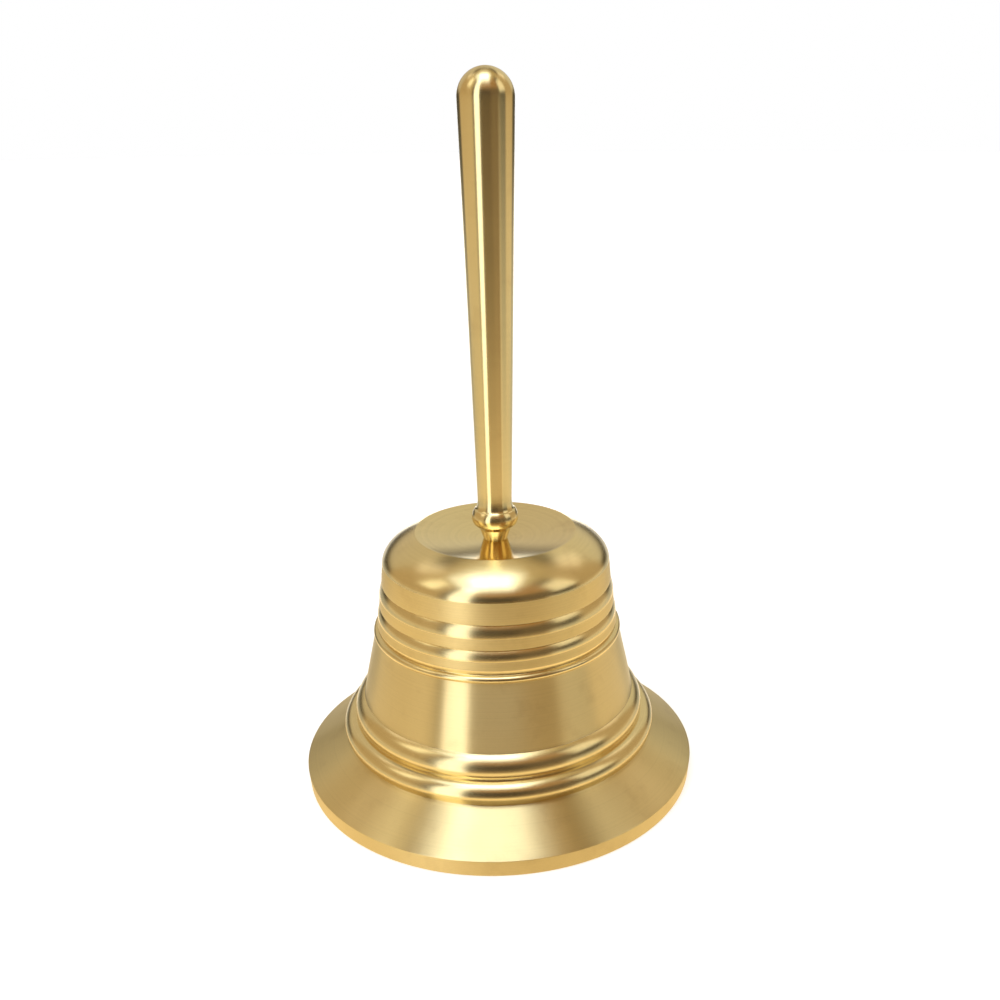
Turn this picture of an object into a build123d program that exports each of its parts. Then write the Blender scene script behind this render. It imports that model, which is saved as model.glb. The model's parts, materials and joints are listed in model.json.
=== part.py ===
"""Brass handbell: a turned bell shell on a turned handle, with a clapper hung on a pivot pin.

Millimetres, +Z up. The origin is the centre of the rim's underside, so the bell stands on Z = 0,
and every turned piece shares the Z axis. The clapper swings in the XZ plane.
"""
from build123d import *
import os

# ---- driving dimensions -------------------------------------------------------------------
RIM_RADIUS = 38.0                # the widest circle of the bell, at the top of the rim band
TOTAL_HEIGHT = 130.0             # rim underside to the tip of the handle

# bell shell, outside, from the mouth upward
RIM_FOOT_RADIUS = 37.75
RIM_BAND_HEIGHT = 3.2
RIM_EDGE_BREAK = 0.2
FLARE_TOP = (29.75, 8.65)        # the cone of the mouth ends here, under the lower bead
BEAD_CREASE = (27.85, 12.6)      # between the two beads
WAIST_FOOT = (26.15, 16.6)       # over the upper bead
LOWER_BEAD_BULGE = 1.5
UPPER_BEAD_BULGE = 0.85
WAIST_PULLS = ((25.6, 19.9), (24.1, 26.0))      # control points of its hollow curve
LIP_FOOT = (23.5, 29.2)
LIP_HEIGHT = 1.1
LIP_BULGE = 0.3
GROOVE_RADIUS = 22.8
LOWER_CREST = (22.95, 31.3)      # sharp foot edge of the lower tier
LOWER_LAND_TOP = (22.8, 32.9)
UPPER_CREST = (22.38, 34.95)     # sharp foot edge of the upper tier
UPPER_LAND_TOP = (22.3, 37.05)
TIER_STEP = 0.3                  # how far each tier's top is undercut
TIER_CROWN = 0.2                 # how far each tier's shoulder swells
BAND_FOOT = (21.78, 39.5)
BAND_TOP = (21.45, 43.5)
SHOULDER_PULLS = ((21.3, 45.4), (18.7, 47.44))  # control points of the dome
DISH_EDGE = (15.1, 48.95)
DISH_FLOOR = 47.2                # the crown is dished round the handle's foot
DISH_FLAT_RADIUS = 3.2

# bell shell, inside
MOUTH_RADIUS = 34.9
INNER_FLARE_PULLS = ((23.4, 10.4), (29.4, 5.0))
INNER_WAIST = (22.2, 17.5)
INNER_SHOULDER = (18.7, 40.0)
CROWN_UNDERSIDE = 43.6
CROWN_FLAT_RADIUS = 12.2
CROWN_HOLE_RADIUS = 1.65

# handle
TENON_RADIUS = 1.5               # M3 thread
TENON_FOOT = 36.0
TENON_CHAMFER = 0.3
NECK_FOOT_RADIUS = 2.2
NECK_TOP = (2.95, 49.4)
COLLAR_FOOT = (4.0, 50.3)
COLLAR_WIDEST = (4.35, 51.4)
COLLAR_SHOULDER = (3.8, 53.1)
COLLAR_PULLS = ((3.42, 53.3), (3.22, 53.8))   # control points up to the grip
GRIP_FOOT = (3.2, 55.2)
GRIP_TOP_RADIUS = 4.85

# clamping stack under the crown, from the crown down
FIBRE_WASHER = (6.0, 0.6)        # outer radius, thickness
FLAT_WASHER = (3.5, 0.6)
LOCK_WASHER = (3.0, 0.8)
LOCK_WASHER_GAP = 0.6
WASHER_BORE = 1.6
CROWN_NUT_FLATS = 5.5
CROWN_NUT_HEIGHT = 2.4
THREAD_CLEARANCE = 0.02

# clapper hanger and pivot
HANGER_RADIUS = 3.6
HANGER_BARREL = 4.0
FORK_GAP = 3.0
FORK_DROP = 2.9                  # underside of the barrel to the pivot axis
FORK_END_RADIUS = 2.4
PIN_RADIUS = 1.0
PIN_HEAD = (1.7, 0.7)            # radius, thickness
PIVOT_CLEARANCE = 0.05

# clapper
ROD_EYE_RADIUS = 2.3
ROD_EYE_THICKNESS = 2.0
ROD_RADIUS = 1.2
BALL_RADIUS = 8.0
BALL_HEIGHT = 9.6                # centre of the ball over the rim's underside
BALL_NUT_FLATS = 5.0
BALL_NUT_HEIGHT = 2.0
ROD_DEPTH_IN_BALL = 11.0

# worked out from the sizes above
FIBRE_FOOT = CROWN_UNDERSIDE - FIBRE_WASHER[1]
FLAT_FOOT = FIBRE_FOOT - FLAT_WASHER[1]
LOCK_FOOT = FLAT_FOOT - LOCK_WASHER[1]
NUT_FOOT = LOCK_FOOT - CROWN_NUT_HEIGHT
BARREL_FOOT = NUT_FOOT - HANGER_BARREL
PIVOT_HEIGHT = BARREL_FOOT - FORK_DROP
GRIP_TOP_HEIGHT = TOTAL_HEIGHT - GRIP_TOP_RADIUS
BALL_SEAT = BALL_HEIGHT + (BALL_RADIUS**2 - (BALL_NUT_FLATS / 2 + 0.5)**2)**0.5
ROD_FOOT = BALL_SEAT - ROD_DEPTH_IN_BALL
TAP_HEIGHT = TENON_FOOT - 0.4

os.makedirs("parts", exist_ok=True)


def bulge(start, end, height):
    """The middle point of an arc that swells outward from the straight line start-end."""
    along = Vector(end[0] - start[0], end[1] - start[1])
    outward = Vector(along.Y, -along.X).normalized()
    middle = Vector((start[0] + end[0]) / 2, (start[1] + end[1]) / 2)
    return (middle.X + outward.X * height, middle.Y + outward.Y * height)


def draw_tier(foot, land_top, top):
    """A narrow land, a rounded shoulder above it, and the small undercut below the next edge."""
    root = (top[0] - TIER_STEP, top[1] - 0.12)
    Line(foot, land_top)
    ThreePointArc(land_top, bulge(land_top, root, TIER_CROWN), root)
    Line(root, top)


def hexagon_radius(flats):
    """Corner radius of a hexagon that measures `flats` across its flat sides."""
    return flats / 3**0.5


# ---- bell shell ---------------------------------------------------------------------------
with BuildPart() as bell_shell:
    with BuildSketch(Plane.XZ):
        with BuildLine():
            # rim band and the cone of the mouth
            Line((MOUTH_RADIUS, 0), (RIM_FOOT_RADIUS - RIM_EDGE_BREAK, 0))
            Line((RIM_FOOT_RADIUS - RIM_EDGE_BREAK, 0), (RIM_FOOT_RADIUS, RIM_EDGE_BREAK))
            Line((RIM_FOOT_RADIUS, RIM_EDGE_BREAK), (RIM_RADIUS, RIM_BAND_HEIGHT))
            Line((RIM_RADIUS, RIM_BAND_HEIGHT), FLARE_TOP)
            # two rounded beads
            ThreePointArc(FLARE_TOP, bulge(FLARE_TOP, BEAD_CREASE, LOWER_BEAD_BULGE), BEAD_CREASE)
            ThreePointArc(BEAD_CREASE, bulge(BEAD_CREASE, WAIST_FOOT, UPPER_BEAD_BULGE), WAIST_FOOT)
            # waist, and the small lip over it
            Bezier(WAIST_FOOT, *WAIST_PULLS, LIP_FOOT)
            lip_top = (LIP_FOOT[0] - 0.2, LIP_FOOT[1] + LIP_HEIGHT)
            ThreePointArc(LIP_FOOT, bulge(LIP_FOOT, lip_top, LIP_BULGE), lip_top)
            Line(lip_top, (GROOVE_RADIUS, lip_top[1] + 0.1))
            Line((GROOVE_RADIUS, lip_top[1] + 0.1), LOWER_CREST)
            # two tiers with rounded shoulders, each standing on a sharp edge
            draw_tier(LOWER_CREST, LOWER_LAND_TOP, UPPER_CREST)
            draw_tier(UPPER_CREST, UPPER_LAND_TOP, BAND_FOOT)
            # plain band, shoulder and dished crown
            Line(BAND_FOOT, BAND_TOP)
            Bezier(BAND_TOP, *SHOULDER_PULLS, DISH_EDGE)
            dish_bottom = (DISH_FLAT_RADIUS, DISH_FLOOR)
            dish_middle = ((DISH_EDGE[0] + dish_bottom[0]) / 2, DISH_FLOOR + 0.78)
            ThreePointArc(DISH_EDGE, dish_middle, dish_bottom)
            Line(dish_bottom, (CROWN_HOLE_RADIUS, DISH_FLOOR))
            Line((CROWN_HOLE_RADIUS, DISH_FLOOR), (CROWN_HOLE_RADIUS, CROWN_UNDERSIDE))
            # inside, from the crown down to the mouth
            Line((CROWN_HOLE_RADIUS, CROWN_UNDERSIDE), (CROWN_FLAT_RADIUS, CROWN_UNDERSIDE))
            corner = (INNER_SHOULDER[0] - 1.6, CROWN_UNDERSIDE - 1.1)
            ThreePointArc((CROWN_FLAT_RADIUS, CROWN_UNDERSIDE), corner, INNER_SHOULDER)
            Line(INNER_SHOULDER, INNER_WAIST)
            Bezier(INNER_WAIST, *INNER_FLARE_PULLS, (MOUTH_RADIUS, 0))
        make_face()
    revolve(axis=Axis.Z)
bell_shell.part.label = "bell_shell"
export_step(bell_shell.part, "parts/bell_shell.step")


# ---- handle -------------------------------------------------------------------------------
with BuildPart() as handle:
    with BuildSketch(Plane.XZ):
        with BuildLine():
            # threaded tenon and the shoulder that sits in the dish
            Line((0, TENON_FOOT), (TENON_RADIUS - TENON_CHAMFER, TENON_FOOT))
            thread_start = (TENON_RADIUS, TENON_FOOT + TENON_CHAMFER)
            Line((TENON_RADIUS - TENON_CHAMFER, TENON_FOOT), thread_start)
            Line(thread_start, (TENON_RADIUS, DISH_FLOOR))
            Line((TENON_RADIUS, DISH_FLOOR), (NECK_FOOT_RADIUS, DISH_FLOOR))
            # neck and collar
            Line((NECK_FOOT_RADIUS, DISH_FLOOR), NECK_TOP)
            Line(NECK_TOP, COLLAR_FOOT)
            ThreePointArc(COLLAR_FOOT, COLLAR_WIDEST, COLLAR_SHOULDER)
            Bezier(COLLAR_SHOULDER, *COLLAR_PULLS, GRIP_FOOT)
            # tapered grip with a domed tip
            Line(GRIP_FOOT, (GRIP_TOP_RADIUS, GRIP_TOP_HEIGHT))
            tip_middle = GRIP_TOP_RADIUS * 0.5**0.5
            ThreePointArc(
                (GRIP_TOP_RADIUS, GRIP_TOP_HEIGHT),
                (tip_middle, GRIP_TOP_HEIGHT + tip_middle),
                (0, TOTAL_HEIGHT),
            )
            Line((0, TOTAL_HEIGHT), (0, TENON_FOOT))
        make_face()
    revolve(axis=Axis.Z)
handle.part.label = "handle"
export_step(handle.part, "parts/handle.step")


# ---- clamping stack under the crown -------------------------------------------------------
with BuildPart() as fibre_washer:
    with BuildSketch(Plane.XY.offset(FIBRE_FOOT)):
        Circle(FIBRE_WASHER[0])
        Circle(WASHER_BORE, mode=Mode.SUBTRACT)
    extrude(amount=FIBRE_WASHER[1])
fibre_washer.part.label = "fibre_washer"
export_step(fibre_washer.part, "parts/fibre_washer.step")

with BuildPart() as flat_washer:
    with BuildSketch(Plane.XY.offset(FLAT_FOOT)):
        Circle(FLAT_WASHER[0])
        Circle(WASHER_BORE, mode=Mode.SUBTRACT)
    extrude(amount=FLAT_WASHER[1])
    rims = flat_washer.edges().filter_by(GeomType.CIRCLE).group_by(SortBy.RADIUS)[-1]
    chamfer(rims, length=0.12)
flat_washer.part.label = "flat_washer"
export_step(flat_washer.part, "parts/flat_washer.step")

with BuildPart() as lock_washer:
    with BuildSketch(Plane.XY.offset(LOCK_FOOT)):
        Circle(LOCK_WASHER[0])
        Circle(WASHER_BORE, mode=Mode.SUBTRACT)
        with Locations((LOCK_WASHER[0] - (LOCK_WASHER[0] - WASHER_BORE) / 2, 0)):
            Rectangle(LOCK_WASHER[0], LOCK_WASHER_GAP, rotation=20, mode=Mode.SUBTRACT)
    extrude(amount=LOCK_WASHER[1])
lock_washer.part.label = "lock_washer"
export_step(lock_washer.part, "parts/lock_washer.step")


def hex_nut(foot, height, flats, bore):
    """A plain hexagon nut on the Z axis, its corners turned off top and bottom."""
    with BuildPart() as nut:
        with BuildSketch(Plane.XY.offset(foot)):
            RegularPolygon(hexagon_radius(flats), 6)
            Circle(bore, mode=Mode.SUBTRACT)
        extrude(amount=height)
        with BuildSketch(Plane.XZ):
            with BuildLine():
                corner = hexagon_radius(flats)
                slope = (corner - flats / 2) * 0.577
                Polyline(
                    (0, foot),
                    (flats / 2, foot),
                    (corner + 0.01, foot + slope),
                    (corner + 0.01, foot + height - slope),
                    (flats / 2, foot + height),
                    (0, foot + height),
                    close=True,
                )
            make_face()
        revolve(axis=Axis.Z, mode=Mode.INTERSECT)
    return nut.part


crown_nut = hex_nut(NUT_FOOT, CROWN_NUT_HEIGHT, CROWN_NUT_FLATS, TENON_RADIUS + THREAD_CLEARANCE)
crown_nut.label = "crown_nut"
export_step(crown_nut, "parts/crown_nut.step")


# ---- clapper hanger and its pivot pin -----------------------------------------------------
with BuildPart() as clapper_hanger:
    with BuildSketch(Plane.XY.offset(BARREL_FOOT)):
        Circle(HANGER_RADIUS)
    extrude(amount=HANGER_BARREL)
    chamfer(clapper_hanger.faces().sort_by(Axis.Z)[-1].edges(), length=0.3)
    # the fork below the barrel: a tongue of the barrel's own width, slotted for the rod's eye
    with BuildSketch(Plane.XZ):
        with Locations((0, PIVOT_HEIGHT)):
            Circle(FORK_END_RADIUS)
        with Locations((0, PIVOT_HEIGHT + FORK_DROP / 2)):
            Rectangle(2 * FORK_END_RADIUS, FORK_DROP)
    extrude(amount=HANGER_RADIUS, both=True)
    with BuildSketch(Plane.XY.offset(PIVOT_HEIGHT - FORK_END_RADIUS)):
        Circle(HANGER_RADIUS)
    extrude(amount=FORK_DROP + FORK_END_RADIUS + HANGER_BARREL, mode=Mode.INTERSECT)
    with Locations((0, 0, PIVOT_HEIGHT)):
        Box(4 * FORK_END_RADIUS, FORK_GAP, 2 * FORK_DROP, mode=Mode.SUBTRACT)
    # tapped hole for the tenon
    with BuildSketch(Plane.XY.offset(TAP_HEIGHT)):
        Circle(TENON_RADIUS + THREAD_CLEARANCE)
    extrude(amount=NUT_FOOT - TAP_HEIGHT, mode=Mode.SUBTRACT)
    # cross hole for the pin
    with BuildSketch(Plane.XZ):
        with Locations((0, PIVOT_HEIGHT)):
            Circle(PIN_RADIUS)
    extrude(amount=2 * HANGER_RADIUS, both=True, mode=Mode.SUBTRACT)
clapper_hanger.part.label = "clapper_hanger"
export_step(clapper_hanger.part, "parts/clapper_hanger.step")

with BuildPart() as pivot_pin:
    with BuildSketch(Plane.XZ):
        with Locations((0, PIVOT_HEIGHT)):
            Circle(PIN_RADIUS)
    extrude(amount=HANGER_RADIUS + PIN_HEAD[1], both=True)
    # a low rivet head at each end
    for side in (-1, 1):
        with BuildSketch(Plane.XZ.offset(side * HANGER_RADIUS)):
            with Locations((0, PIVOT_HEIGHT)):
                Circle(PIN_HEAD[0])
        extrude(amount=side * PIN_HEAD[1])
    head_faces = pivot_pin.faces().sort_by(Axis.Y)
    chamfer(head_faces[0].edges() + head_faces[-1].edges(), length=0.3)
pivot_pin.part.label = "pivot_pin"
export_step(pivot_pin.part, "parts/pivot_pin.step")


# ---- clapper ------------------------------------------------------------------------------
with BuildPart() as clapper_rod:
    with BuildSketch(Plane.XZ):
        with Locations((0, PIVOT_HEIGHT)):
            Circle(ROD_EYE_RADIUS)
    extrude(amount=ROD_EYE_THICKNESS / 2, both=True)
    with BuildSketch(Plane.XY.offset(ROD_FOOT)):
        Circle(ROD_RADIUS)
    extrude(amount=PIVOT_HEIGHT - ROD_EYE_RADIUS + 0.4 - ROD_FOOT)
    with BuildSketch(Plane.XZ):
        with Locations((0, PIVOT_HEIGHT)):
            Circle(PIN_RADIUS + PIVOT_CLEARANCE)
    extrude(amount=2 * ROD_EYE_THICKNESS, both=True, mode=Mode.SUBTRACT)
clapper_rod.part.label = "clapper_rod"
export_step(clapper_rod.part, "parts/clapper_rod.step")

ball_nut = hex_nut(BALL_SEAT, BALL_NUT_HEIGHT, BALL_NUT_FLATS, ROD_RADIUS + THREAD_CLEARANCE)
ball_nut.label = "ball_nut"
export_step(ball_nut, "parts/ball_nut.step")

with BuildPart() as clapper_ball:
    with Locations((0, 0, BALL_HEIGHT)):
        Sphere(BALL_RADIUS)
    # spot face for the nut, and the tapped hole for the rod
    with BuildSketch(Plane.XY.offset(BALL_SEAT)):
        Circle(BALL_RADIUS)
    extrude(amount=BALL_RADIUS, mode=Mode.SUBTRACT)
    with BuildSketch(Plane.XY.offset(ROD_FOOT)):
        Circle(ROD_RADIUS + THREAD_CLEARANCE)
    extrude(amount=2 * BALL_RADIUS, mode=Mode.SUBTRACT)
clapper_ball.part.label = "clapper_ball"
export_step(clapper_ball.part, "parts/clapper_ball.step")
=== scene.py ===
import json
import math

import bmesh
import bpy
from mathutils import Matrix, Vector


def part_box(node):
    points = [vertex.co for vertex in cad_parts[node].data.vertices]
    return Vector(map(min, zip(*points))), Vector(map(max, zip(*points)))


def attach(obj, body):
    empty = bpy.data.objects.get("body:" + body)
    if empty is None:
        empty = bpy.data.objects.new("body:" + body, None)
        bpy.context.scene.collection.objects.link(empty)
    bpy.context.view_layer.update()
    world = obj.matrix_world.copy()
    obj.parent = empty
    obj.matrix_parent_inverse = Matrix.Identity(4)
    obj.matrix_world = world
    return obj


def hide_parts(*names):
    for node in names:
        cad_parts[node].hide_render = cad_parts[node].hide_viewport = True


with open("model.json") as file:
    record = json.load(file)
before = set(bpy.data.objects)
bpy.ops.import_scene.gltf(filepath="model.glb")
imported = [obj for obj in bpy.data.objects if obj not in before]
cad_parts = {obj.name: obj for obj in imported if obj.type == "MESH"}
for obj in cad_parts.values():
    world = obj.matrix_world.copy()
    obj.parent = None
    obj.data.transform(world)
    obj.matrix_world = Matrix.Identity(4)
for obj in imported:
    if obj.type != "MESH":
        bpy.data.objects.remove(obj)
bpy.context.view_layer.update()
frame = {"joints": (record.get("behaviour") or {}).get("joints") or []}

bl_info = {
    "name": "Brass Handbell",
    "version": (1, 0, 0),
    "blender": (4, 5, 0),
    "location": "View3D > Sidebar > Handbell",
    "description": "Turns a brass handbell with its handle, clapper and fittings",
    "category": "Add Mesh",
}

MM = 0.001

# The bell's outline as turned, (radius, height) in millimetres, from the mouth upward
RIM_FOOT = (37.75, 0.0)
RIM_EDGE_BREAK = 0.2
RIM_TOP = (38.0, 3.2)
FLARE_TOP = (29.75, 8.65)
BEAD_CREASE = (27.85, 12.6)
WAIST_FOOT = (26.15, 16.6)
LOWER_BEAD_BULGE = 1.5
UPPER_BEAD_BULGE = 0.85
WAIST_PULLS = ((25.6, 19.9), (24.1, 26.0))
LIP_FOOT = (23.5, 29.2)
LIP_HEIGHT = 1.1
LIP_BULGE = 0.3
LIP_LEAN = 0.2
GROOVE_DROP = 0.1
GROOVE_RADIUS = 22.8
LOWER_CREST = (22.95, 31.3)
LOWER_LAND_TOP = (22.8, 32.9)
UPPER_CREST = (22.38, 34.95)
UPPER_LAND_TOP = (22.3, 37.05)
TIER_STEP = 0.3
TIER_CROWN = 0.2
TIER_ROOT_DROP = 0.12
BAND_FOOT = (21.78, 39.5)
BAND_TOP = (21.45, 43.5)
SHOULDER_PULLS = ((21.3, 45.4), (18.7, 47.44))
DISH_EDGE = (15.1, 48.95)
DISH_FLOOR = 47.2
DISH_MIDDLE_RISE = 0.78
DISH_FLAT_RADIUS = 3.2
MOUTH_RADIUS = 34.9
INNER_FLARE_PULLS = ((23.4, 10.4), (29.4, 5.0))
INNER_WAIST = (22.2, 17.5)
INNER_SHOULDER = (18.7, 40.0)
CROWN_UNDERSIDE = 43.6
CROWN_FLAT_RADIUS = 12.2
CROWN_HOLE_RADIUS = 1.65
INNER_CORNER = (INNER_SHOULDER[0] - 1.6, CROWN_UNDERSIDE - 1.1)

# The handle's outline
TENON_RADIUS = 1.5
TENON_FOOT = 36.0
NECK_FOOT_RADIUS = 2.2
NECK_TOP = (2.95, 49.4)
COLLAR_FOOT = (4.0, 50.3)
COLLAR_WIDEST = (4.35, 51.4)
COLLAR_SHOULDER = (3.8, 53.1)
COLLAR_PULLS = ((3.42, 53.3), (3.22, 53.8))
GRIP_FOOT = (3.2, 55.2)
GRIP_TOP_RADIUS = 4.85

# The fittings under the crown and the clapper
WASHER_BORE = 1.6
LOCK_GAP_DEGREES = 14
NUT_CLEARANCE = 0.03
COUNTERSINK = 0.25
FORK_GAP = 3.0
FORK_DROP = 2.9
PIN_RADIUS = 1.0
PIN_HEAD_HEIGHT = 0.7
ROD_RADIUS = 1.2
ROD_EYE_THICKNESS = 2.0
EYE_HOLE_RADIUS = 1.05
BALL_BORE = 1.22

# Where the clapper hangs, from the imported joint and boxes
PIVOT = Vector(frame["joints"][0]["pos_m"])


# ---- settings ------------------------------------------------------------------------------

class HandbellSizes(bpy.types.PropertyGroup):
    """Fineness of the turned pieces and the small edge radii"""

    segments: bpy.props.IntProperty(
        name="Segments", description="Faces round the bell shell", default=192, min=48, max=512)
    slim_segments: bpy.props.IntProperty(
        name="Slim Segments", description="Faces round the handle and ball", default=96, min=24, max=256)
    edge_radius: bpy.props.FloatProperty(
        name="Edge Radius", description="How far the shell's turned edges are rounded",
        default=0.09 * MM, min=0.01 * MM, max=0.3 * MM, precision=5, unit="LENGTH")
    fitting_edge_radius: bpy.props.FloatProperty(
        name="Fitting Edge Radius", description="Edge break on the nuts, washers, hanger and rod",
        default=0.12 * MM, min=0.01 * MM, max=0.3 * MM, precision=5, unit="LENGTH")
    crown_thread_pitch: bpy.props.FloatProperty(
        name="Crown Thread Pitch", description="Pitch of the handle's thread",
        default=0.5 * MM, min=0.3 * MM, max=1.0 * MM, precision=5, unit="LENGTH")
    rod_thread_pitch: bpy.props.FloatProperty(
        name="Rod Thread Pitch", description="Pitch of the thread that holds the clapper ball",
        default=0.45 * MM, min=0.3 * MM, max=1.0 * MM, precision=5, unit="LENGTH")


class HandbellColours(bpy.types.PropertyGroup):
    """Metal and stage colours"""

    brass: bpy.props.FloatVectorProperty(
        name="Brass", description="Polished brass of the bell and handle",
        subtype="COLOR", size=3, default=(0.88, 0.71, 0.35), min=0.0, max=1.0)
    satin_brass: bpy.props.FloatVectorProperty(
        name="Satin Brass", description="The plain bands at the shoulder and the rim",
        subtype="COLOR", size=3, default=(0.90, 0.715, 0.33), min=0.0, max=1.0)
    tarnish: bpy.props.FloatVectorProperty(
        name="Tarnish", description="Brown film that gathers in grooves and inside the bell",
        subtype="COLOR", size=3, default=(0.33, 0.17, 0.05), min=0.0, max=1.0)
    steel: bpy.props.FloatVectorProperty(
        name="Plated Steel", description="Zinc plated nuts, washers and pin",
        subtype="COLOR", size=3, default=(0.58, 0.57, 0.54), min=0.0, max=1.0)
    fibre: bpy.props.FloatVectorProperty(
        name="Fibre", description="Vulcanised fibre washer under the crown",
        subtype="COLOR", size=3, default=(0.20, 0.035, 0.02), min=0.0, max=1.0)
    floor: bpy.props.FloatVectorProperty(
        name="Floor", description="Pale studio floor",
        subtype="COLOR", size=3, default=(0.80, 0.79, 0.775), min=0.0, max=1.0)


def sizes():
    return bpy.context.scene.handbell_sizes


def colours():
    return bpy.context.scene.handbell_colours


# ---- outlines ------------------------------------------------------------------------------

def bulge(start, end, height):
    """Middle point of an arc that swells outward from the straight line start-end."""
    along = Vector((end[0] - start[0], end[1] - start[1]))
    outward = Vector((along.y, -along.x)).normalized()
    middle = (Vector(start) + Vector(end)) / 2 + outward * height
    return (middle.x, middle.y)


def arc_points(start, through, end, steps):
    """Points after `start` on the circle through three points."""
    a, b, c = Vector(start), Vector(through), Vector(end)
    ab, ac = b - a, c - a
    cross = 2 * (ab.x * ac.y - ab.y * ac.x)
    centre = a + Vector((
        (ac.y * ab.length_squared - ab.y * ac.length_squared) / cross,
        (ab.x * ac.length_squared - ac.x * ab.length_squared) / cross,
    ))
    radius = (a - centre).length
    first = math.atan2(a.y - centre.y, a.x - centre.x)
    turn = math.tau if cross > 0 else -math.tau
    sweep = (math.atan2(c.y - centre.y, c.x - centre.x) - first) % turn
    return [
        (centre.x + radius * math.cos(first + sweep * i / steps),
         centre.y + radius * math.sin(first + sweep * i / steps))
        for i in range(1, steps + 1)
    ]


def bezier_points(start, pull_a, pull_b, end, steps):
    """Points after `start` on a cubic curve with two control points."""
    made = []
    for i in range(1, steps + 1):
        t = i / steps
        k = ((1 - t) ** 3, 3 * t * (1 - t) ** 2, 3 * t * t * (1 - t), t ** 3)
        made.append(tuple(
            k[0] * start[n] + k[1] * pull_a[n] + k[2] * pull_b[n] + k[3] * end[n] for n in (0, 1)
        ))
    return made


class Outline:
    """A turned outline in millimetres, drawn stretch by stretch, each with a named finish."""

    def __init__(self, start):
        self.points = [start]
        self.finishes = []
        self.corners = []

    def _add(self, points, finish):
        self.corners.append(len(self.points) - 1)
        self.points += points
        self.finishes += [finish] * len(points)
        return self

    def line(self, end, finish, steps=1):
        a, b = Vector(self.points[-1]), Vector(end)
        return self._add([tuple(a.lerp(b, i / steps)) for i in range(1, steps + 1)], finish)

    def arc(self, through, end, finish, steps=16):
        return self._add(arc_points(self.points[-1], through, end, steps), finish)

    def bezier(self, pulls, end, finish, steps=24):
        return self._add(bezier_points(self.points[-1], *pulls, end, steps), finish)

    def eased(self, radius, sharpest=18.0):
        """The outline with every sharp corner eased to a small arc of this radius."""
        points, finishes = [self.points[0]], []
        last = len(self.points) - 1
        for i in range(1, last + 1):
            here = Vector(self.points[i])
            finish = self.finishes[i - 1]
            if i == last or i not in self.corners:
                points.append(tuple(here))
                finishes.append(finish)
                continue
            back = Vector(self.points[i - 1]) - here
            ahead = Vector(self.points[i + 1]) - here
            turn = math.pi - back.angle(ahead)
            if math.degrees(turn) < sharpest:
                points.append(tuple(here))
                finishes.append(finish)
                continue
            cut = min(radius * math.tan(turn / 2), 0.45 * back.length, 0.45 * ahead.length)
            start = here + back.normalized() * cut
            end = here + ahead.normalized() * cut
            for n in range(5):
                t = n / 4
                p = start * (1 - t) ** 2 + here * (2 * t * (1 - t)) + end * t * t
                points.append(tuple(p))
                finishes.append(finish if n < 3 else self.finishes[i])
        return points, finishes


# ---- mesh helpers --------------------------------------------------------------------------

def new_piece(name, bm, materials, smooth_angle=30.0):
    """An object from a finished bmesh, smooth but for its hard edges."""
    bmesh.ops.recalc_face_normals(bm, faces=bm.faces)
    mesh = bpy.data.meshes.new(name)
    bm.to_mesh(mesh)
    bm.free()
    mesh.shade_smooth()
    mesh.set_sharp_from_angle(angle=math.radians(smooth_angle))
    for material in materials:
        mesh.materials.append(material)
    piece = bpy.data.objects.new(name, mesh)
    bpy.context.scene.collection.objects.link(piece)
    return piece


def place_piece(piece, body, node):
    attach(piece, body)
    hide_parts(node)
    return piece


def lathe(outline, segments, finish_names, closed, edge=0.0, axis="Z", centre=(0.0, 0.0, 0.0)):
    """Turns an outline (millimetres) about an axis through `centre` (metres)."""
    points, finishes = outline.eased(edge / MM) if edge else (outline.points, outline.finishes)
    bm = bmesh.new()
    rings = []
    for radius, height in points:
        if radius < 1e-6:
            rings.append([bm.verts.new((0.0, 0.0, height * MM))])
            continue
        rings.append([
            bm.verts.new((
                radius * MM * math.cos(math.tau * k / segments),
                radius * MM * math.sin(math.tau * k / segments),
                height * MM,
            ))
            for k in range(segments)
        ])
    pairs = list(zip(rings[:-1], rings[1:], finishes))
    if closed:
        pairs.append((rings[-1], rings[0], finishes[-1]))
    for low, high, finish in pairs:
        if len(low) == 1 and len(high) == 1:
            continue
        for k in range(segments):
            j = (k + 1) % segments
            ring = [low[k % len(low)], low[j % len(low)], high[j % len(high)], high[k % len(high)]]
            corners = []
            for v in ring:
                if v not in corners:
                    corners.append(v)
            face = bm.faces.new(corners)
            face.material_index = finish_names.index(finish)
    if axis == "Y":
        bmesh.ops.rotate(bm, verts=bm.verts, cent=(0, 0, 0), matrix=Matrix.Rotation(math.pi / 2, 3, "X"))
    bmesh.ops.translate(bm, verts=bm.verts, vec=Vector(centre))
    return bm


def cut_with(piece, tool, operation):
    """Applies a boolean with a throw-away tool mesh."""
    modifier = piece.modifiers.new(operation, "BOOLEAN")
    modifier.operation = operation
    modifier.solver = "EXACT"
    modifier.object = tool
    depsgraph = bpy.context.evaluated_depsgraph_get()
    mesh = bpy.data.meshes.new_from_object(piece.evaluated_get(depsgraph))
    piece.modifiers.clear()
    piece.data = mesh
    bpy.data.objects.remove(tool)


def ease_edges(piece, radius, smooth_angle=35.0, segments=2):
    """Rounds a fitting's hard edges and applies the result."""
    modifier = piece.modifiers.new("Eased Edges", "BEVEL")
    modifier.width = radius
    modifier.segments = segments
    modifier.limit_method = "ANGLE"
    modifier.angle_limit = math.radians(smooth_angle)
    modifier.use_clamp_overlap = True
    depsgraph = bpy.context.evaluated_depsgraph_get()
    mesh = bpy.data.meshes.new_from_object(piece.evaluated_get(depsgraph))
    piece.modifiers.clear()
    piece.data = mesh
    mesh.shade_smooth()
    mesh.set_sharp_from_angle(angle=math.radians(smooth_angle))


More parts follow.
